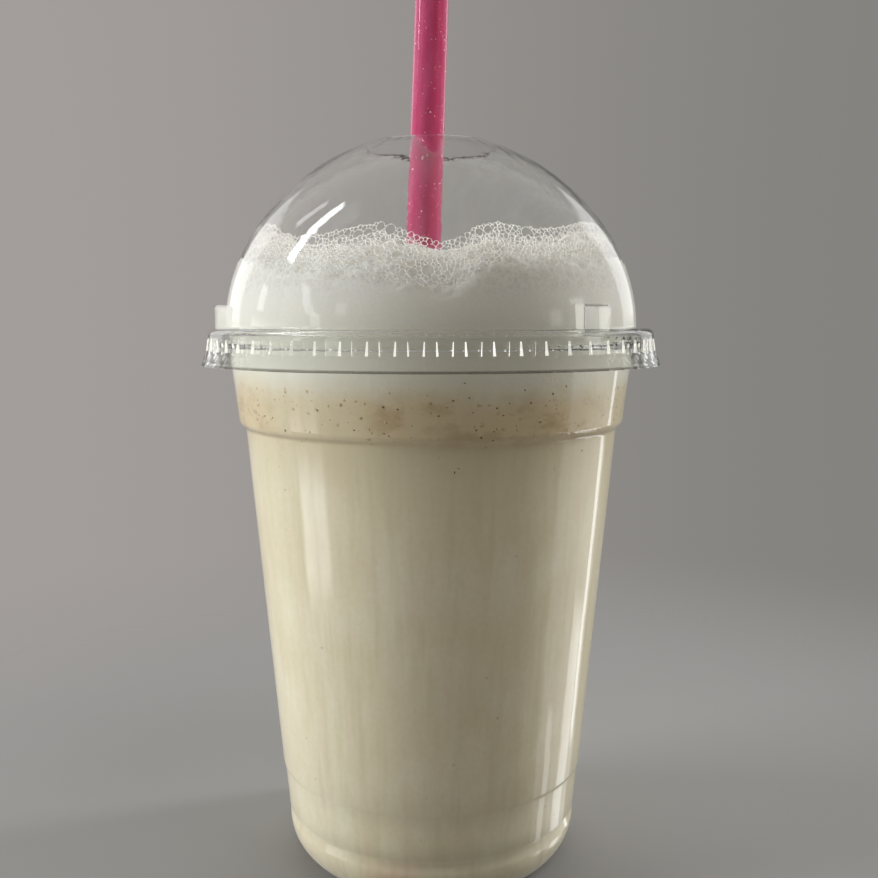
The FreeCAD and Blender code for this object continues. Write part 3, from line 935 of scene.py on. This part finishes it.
NETS = (
    ("foam_lace_wall", None, 0.35, 0.0, 0.3, 0.15, 0.055, 0.12),
    ("foam_lace_second", 4.4, 0.5, 1.5, 0.4, 1.9, 0.07, 0.13),
    ("foam_lace_third", 4.2, 0.6, 2.2, 0.5, 4.4, 0.08, 0.14),
)  # depth, ripple of the top, how far it stays under it, gap, inset, thinnest and thickest thread, in mm
NET_BUBBLES = {
    "foam_lace_wall": ((0.5, 1.0, 480, 2.2), (0.4, 0.6, 800, 1.3), (0.26, 0.45, 6400, 0.85)),
    "foam_lace_second": ((0.6, 1.5, 480, 1.2), (0.35, 0.7, 4000, 0.85)),
    "foam_lace_third": ((0.9, 1.8, 480, 1.0), (0.45, 0.9, 2400, 0.85)),
}  # for each lot of bubbles the smallest and largest radius in mm, the tries and how crowded they are


def make_lace(material):
    """Three nets of bubbles one behind the other round the wall."""
    rng = np.random.default_rng(7)
    for name, depth, ripple, under, gap, inset, thin, thick in NETS:
        net = wall_map(depth if depth is None else depth * MM, ripple * MM)
        net.room -= under * MM
        if depth is None:
            for cluster in BUBBLE_CLUSTERS:
                net.cluster(rng, *cluster)
        for smallest, largest, tries, crowd in NET_BUBBLES[name]:
            net.fill(rng, smallest * MM, largest * MM, tries, crowd)
        lace(name, net, gap * MM, on_wall(inset * MM), thin * MM, thick * MM, rng, material)


def make_mist(name, inset, thickest, material):
    """A cloudy sheet round the wall, from the dense froth's shoulder up to the lacy top."""
    segments = 240
    rows = 14
    vertices = []
    clouds = []
    for row in range(rows):
        share = row / (rows - 1)
        for step in range(segments):
            bearing = 2 * math.pi * step / segments
            wall = wall_spot(bearing)
            low = core_edge(bearing) - 1.5 * MM
            height = low + (foam_top(wall.x, wall.y) - 0.5 * MM - low) * share
            vertices.append(on_bearing(bearing, wall_radius(height, LID_WALL + inset), height))
            clouds.append(thickest * min(1.0, 1.3 * (1 - share)) ** 2)
    sheet = object_from(name, vertices, ring_quads(segments, rows))
    cloud = sheet.data.attributes.new("cloud", "FLOAT", "POINT")
    cloud.data.foreach_set("value", clouds)
    let_light_through(sheet)
    return finish_piece(sheet, material)


# ---------------------------------------------------------------- specks and glitter
FLECK_BANDS = (
    (12, 96, 130, 0.2),
    (92, 101, 70, 0.24),
    (99.5, 108, 420, 0.25),
    (104, 111, 50, 0.22),
)  # lowest and highest level, number and largest radius of the flecks in each band


def pebbles(name, centres, radii, squash, rng, material):
    """Small irregular grains, each a rounded lump pressed flat against the wall."""
    ball = bmesh.new()
    bmesh.ops.create_icosphere(ball, subdivisions=2, radius=1.0)
    shape = np.array([vertex.co for vertex in ball.verts])
    sides = np.array([[vertex.index for vertex in face.verts] for face in ball.faces])
    ball.free()
    vertices = []
    faces = []
    for index, (centre, radius) in enumerate(zip(centres, radii)):
        rough = shape * (1 + 0.22 * rng.standard_normal((len(shape), 1)))
        rough = rough * radius * (0.7 + 0.6 * rng.random((1, 3)))
        out = np.array(centre) * np.array([1, 1, 0.0])
        out = out / np.linalg.norm(out)
        depth = rough @ out
        rough = rough - np.outer(depth, out) * (1 - squash)
        vertices.append(rough + np.array(centre))
        faces.append(sides + index * len(shape))
    piece = object_from(name, np.concatenate(vertices).tolist(), np.concatenate(faces).tolist())
    return finish_piece(piece, material)


def cup_inside(height):
    """The radius at which the visible filling meets the wall at a height."""
    seam = [p for p in node_outline("smoothie") if p[1] > 3 * MM] + node_outline("speckled_layer")
    seam = sorted(seam + [p for p in node_outline("foam") if p[1] < 118 * MM], key=lambda p: p[1])
    heights = [p[1] for p in seam]
    radii = [p[0] for p in seam]
    return float(np.interp(height, heights, radii)) + FILL_GAP + SINK


def speck_material(name, dark, light):
    """An opaque speck between two colours."""
    material, tree, place = new_material(name)
    colour = blend_colour(tree, noise_node(tree, place, 400.0, 2.0), dark, light)
    show(tree, shader(tree, "Principled", colour, Roughness=0.5))
    return material


def strewn(rng, low, high, count, smallest, largest, fall):
    """Places just inside the cup's wall between two levels, and a radius for each, mostly small."""
    centres = []
    radii = []
    for _ in range(count):
        height = (low + (high - low) * rng.random()) * MM
        bearing = 2 * math.pi * rng.random()
        centres.append(on_bearing(bearing, cup_inside(height) - 0.02 * MM, height))
        radii.append((smallest + (largest - smallest) * rng.random() ** fall) * MM)
    return centres, radii


def make_specks():
    """Dark banana seed flecks, crowded in the speckled layer and sparse below it, and soft tan pulp."""
    rng = np.random.default_rng(11)
    centres = []
    radii = []
    for low, high, count, largest in FLECK_BANDS:
        places, sizes = strewn(rng, low, high, count, 0.07, largest, 2.2)
        centres += places
        radii += sizes
    flecks = speck_material("fleck_brown", srgb(104, 84, 60), srgb(146, 122, 92))
    pebbles("seed_flecks", centres, radii, 0.3, rng, flecks)
    centres, radii = strewn(rng, 98.5, 109.0, 420, 0.12, 0.42, 2)
    pulp = speck_material("pulp_tan", srgb(186, 160, 122), srgb(216, 198, 164))
    pebbles("banana_pulp", centres, radii, 0.18, rng, pulp)


FLAKES = 1300
FLAKE_HALF = 0.012 * MM  # half a flake's thickness


def glitter_material():
    """Flakes between rose and silver."""
    material, tree, place = new_material("glitter_silver")
    shade = ramp(tree, noise_node(tree, place, 1500.0, 1.0), 0.42, 0.58)
    colour = blend_colour(tree, shade, srgb(170, 80, 110), srgb(255, 246, 248))
    show(tree, shader(tree, "Principled", colour, Roughness=0.3))
    return material


def make_glitter():
    """Thin six-sided flakes cast in the straw's wall."""
    rng = np.random.default_rng(5)
    across = STRAW_LEAN.to_track_quat("Z", "Y").to_matrix()
    low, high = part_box("straw")
    length = (high.z - low.z) / STRAW_LEAN.z - 4 * MM
    vertices = []
    faces = []
    for base in range(0, FLAKES * 12, 12):
        along = 2 * MM + length * rng.random()
        angle = 2 * math.pi * rng.random()
        reach = (3.96 + 0.05 * rng.random()) * MM
        size = (0.08 + 0.14 * rng.random() ** 2) * MM
        spot = Vector((reach * math.cos(angle), reach * math.sin(angle), along))
        out = Vector((math.cos(angle), math.sin(angle), 0))
        tilt = Vector(rng.standard_normal(3) * 0.12)
        flat = (out + tilt).normalized().to_track_quat("Z", "Y").to_matrix()
        for level in (-FLAKE_HALF, FLAKE_HALF):
            for corner in range(6):
                turned = corner * math.pi / 3
                edge = Vector((size * math.cos(turned), size * math.sin(turned), level))
                vertices.append(STRAW_FOOT + across @ (spot + flat @ edge))
        faces.append(tuple(base + 5 - corner for corner in range(6)))
        faces.append(tuple(base + 6 + corner for corner in range(6)))
        faces += ring_quads(6, 2, base)
    flakes = object_from("straw_glitter", vertices, faces, smooth=False)
    finish_piece(flakes, glitter_material())


# ---------------------------------------------------------------- put together
for node, material in (
    ("cup", clear_plastic("cup_clear", (0.985, 0.99, 0.98, 1), 0.045, 0.25)),
    ("lid", clear_plastic("lid_clear", (0.985, 0.99, 0.985, 1), 0.03, 0.2, fluted=True)),
    ("straw", straw_plastic()),
):
    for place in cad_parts[node].material_slots:
        place.material = material

make_drink(drink_material())
make_core(foam_material())
make_lace(lace_material())
mist = mist_material()
make_mist("foam_mist_front", 1.2 * MM, 0.6, mist)
make_mist("foam_mist_deep", 3.2 * MM, 0.8, mist)
make_specks()
make_glitter()


# ---------------------------------------------------------------- stage
def grade(tree, source, low, high):
    """The backdrop's grey, warmer and lighter on the left."""
    share = ramp(tree, source, low, high)
    return blend_colour(tree, share, srgb(163, 158, 155), srgb(133, 131, 127))


PANELS = (
    (-99, 44, 2.4, 13, 2.0, -0.25, 12.0),  # the narrow streak down the dome's left
    (-88, 51, 7.0, 9, 6.0, 0.0, 0.7),  # the soft light beside it
    (-116, 45, 1.5, 5, 2.0, 0.0, 3.0),
    (-70, 15, 2.0, 7, 2.0, -0.6, 2.5),  # the slanted streak low on the dome
    (-63, 5, 2.0, 2, 2.0, 0.0, 2.5),
    (-78, -2, 7.0, 20, 5.0, 0.0, 0.5),  # the window over the cup's left
    (-84, -19, 3.0, 1.5, 4.0, 0.0, 2.6),
    (-73, -20, 3.0, 1.5, 4.0, 0.0, 2.6),
    (-75, -9, 9.0, 1.5, 3.0, 0.0, 1.5),
    (-105, 12, 2.0, 4, 2.0, 0.0, 2.0),
    (-48, 12, 2.0, 3, 2.0, 0.0, 1.5),
    (111, -22, 23.0, 11, 3.0, 0.0, 0.75),  # the broad panel over the cup's right
    (120, -28, 5.0, 6, 3.0, 0.0, 1.6),
    (130, -17, 1.5, 9, 1.5, 0.0, 2.0),
    (98, -32, 2.0, 3, 2.0, 0.0, 1.5),
    (86, 8, 4.0, 6, 2.0, 0.0, 2.5),  # the block beside the lid's right lug
    (96, -3, 14.0, 3, 3.0, 0.0, 1.6),  # low light from the sides, which lines the lid's flutes
    (-97, -1, 14.0, 3, 3.0, 0.0, 1.8),
    (74, 46, 16.0, 11, 6.0, 0.0, 0.3),  # and from above them
    (-74, 46, 12.0, 11, 6.0, 0.0, 0.3),
    (70, 7, 2.0, 2, 3.0, 0.0, 1.5),
    (140, 16, 9.0, 13, 4.0, 0.0, 1.1),  # light from behind on the right, along the lid's flutes
    (-138, 16, 9.0, 13, 4.0, 0.0, 1.0),  # and on the left
)  # studio panels: azimuth, elevation, half width, half height, soft edge, lean and strength


def panel_share(tree, azimuth, elevation, panel):
    """How far a direction lies inside a bright panel, fading across its soft edge."""
    middle, level, wide, tall, soft, lean, strength = panel
    up = math_node(tree, "SUBTRACT", elevation, level)
    across = math_node(tree, "SUBTRACT", azimuth, middle)
    if lean:
        across = math_node(tree, "SUBTRACT", across, math_node(tree, "MULTIPLY", up, lean))
    sides = ramp(tree, math_node(tree, "ABSOLUTE", across), wide, wide + soft, 1.0, 0.0)
    ends = ramp(tree, math_node(tree, "ABSOLUTE", up), tall, tall + soft, strength, 0.0)
    return math_node(tree, "MULTIPLY", sides, ends)


DARK_FRONT = (0.06, 0.057, 0.052, 1)  # what the plastic mirrors of the room before the cup
FRONT_FILL = (0.215, 0.195, 0.168, 1)  # the soft light that reaches the drink from the front
BACK_FILL = (0.34, 0.335, 0.32, 1)


def make_world():
    """The backdrop for the camera, panels for what is mirrored and a soft fill for the rest."""
    world = bpy.data.worlds.new("studio")
    bpy.context.scene.world = world
    world.use_nodes = True
    tree = world.node_tree
    tree.nodes.clear()
    right, back, up = parts_of(tree, add(tree, "ShaderNodeTexCoord").outputs["Generated"])
    seen = grade(tree, right, -0.42, 0.42)
    behind = ramp(tree, back, -0.2, 0.55)
    mirrored = blend_colour(tree, behind, DARK_FRONT, seen)
    ahead = math_node(tree, "MULTIPLY", back, -1.0)
    azimuth = math_node(tree, "DEGREES", math_node(tree, "ARCTAN2", right, ahead))
    elevation = math_node(tree, "DEGREES", math_node(tree, "ARCSINE", up))
    glow = None
    for panel in PANELS:
        share = panel_share(tree, azimuth, elevation, panel)
        glow = share if glow is None else math_node(tree, "ADD", glow, share)
    lit = value_of(tree, "VectorMath", 0, {0: (0.97, 0.99, 1.0), "Scale": glow}, operation="SCALE")
    mirrored = blend_colour(tree, 1.0, mirrored, lit, "ADD")
    path = add(tree, "ShaderNodeLightPath")
    fill = blend_colour(tree, ramp(tree, back, -0.5, 0.5), FRONT_FILL, BACK_FILL)
    colour = blend_colour(tree, path.outputs["Is Glossy Ray"], fill, mirrored)
    direct = math_node(tree, "MAXIMUM", path.outputs["Is Camera Ray"], path.outputs["Is Transmission Ray"])
    colour = blend_colour(tree, direct, colour, seen)
    sky = value_of(tree, "Background", 0, {"Color": colour})
    link(tree, sky, add(tree, "ShaderNodeOutputWorld").inputs["Surface"])


FLOOR_LEVEL = -0.05 * MM
FLOOR_REACH = 0.34
FLOOR_RINGS = 12
FLOOR_SEGMENTS = 96


def make_floor():
    """A plain floor that fades into the backdrop's grey away from the cup."""
    vertices = [Vector((0, 0, FLOOR_LEVEL))]
    for ring in range(1, FLOOR_RINGS + 1):
        vertices += ring_points(FLOOR_SEGMENTS, FLOOR_REACH * ring / FLOOR_RINGS, FLOOR_LEVEL)
    faces = fan(FLOOR_SEGMENTS, 1, 0)
    faces += [face[::-1] for face in ring_quads(FLOOR_SEGMENTS, FLOOR_RINGS, 1)]
    floor = object_from("floor", vertices, faces)
    material, tree, place = new_material("floor_grey")
    fade = ramp(tree, vector_node(tree, "LENGTH", place), 0.08, FLOOR_REACH * 0.97)
    body = shader(tree, "Diffuse", (0.3, 0.297, 0.297, 1))
    show(tree, mixed(tree, fade, body, shader(tree, "Transparent", WHITE)))
    floor.data.materials.append(material)
    floor.visible_glossy = False


def area_light(name, bearing, distance, height, width, tall, watts, colour, aim=0.09):
    """A soft light on a bearing, aimed at the drink and unseen by the camera."""
    lamp = bpy.data.lights.new(name, "AREA")
    lamp.shape = "RECTANGLE"
    lamp.size = width
    lamp.size_y = tall
    lamp.energy = watts
    lamp.color = colour
    made = placed(name, lamp)
    made.location = on_bearing(math.radians(bearing), distance, height)
    made.rotation_euler = (Vector((0, 0, aim)) - made.location).to_track_quat("-Z", "Y").to_euler()
    made.visible_camera = False
    made.visible_transmission = False
    made.visible_glossy = False


def make_lights():
    area_light("window", -85, 0.9, 0.25, 0.45, 0.8, 9.4, (0.97, 0.99, 1.0))
    area_light("overhead", 180, 0.35, 0.85, 0.5, 0.5, 2.15, (1.0, 0.985, 0.97), 0.13)
    area_light("canopy", 58, 0.45, 0.85, 0.4, 0.4, 1.5, (0.97, 0.99, 1.0), 0.13)
    area_light("strip", 113, 0.8, 0.22, 0.1, 0.8, 5.0, (1.0, 0.99, 0.97))


def make_camera():
    camera = bpy.data.cameras.new("camera")
    camera.lens = CAMERA_LENS
    camera.sensor_width = CAMERA_SENSOR
    camera.clip_start = 0.01
    made = placed("camera", camera)
    made.location = CAMERA_AT
    made.rotation_euler = (CAMERA_TILT, 0, 0)
    bpy.context.scene.camera = made


make_world()
make_floor()
make_lights()
make_camera()
bpy.context.scene.view_settings.view_transform = "Standard"
cycles = bpy.context.scene.cycles
cycles.max_bounces = 14
cycles.glossy_bounces = 5
cycles.transmission_bounces = 14
cycles.transparent_max_bounces = 20
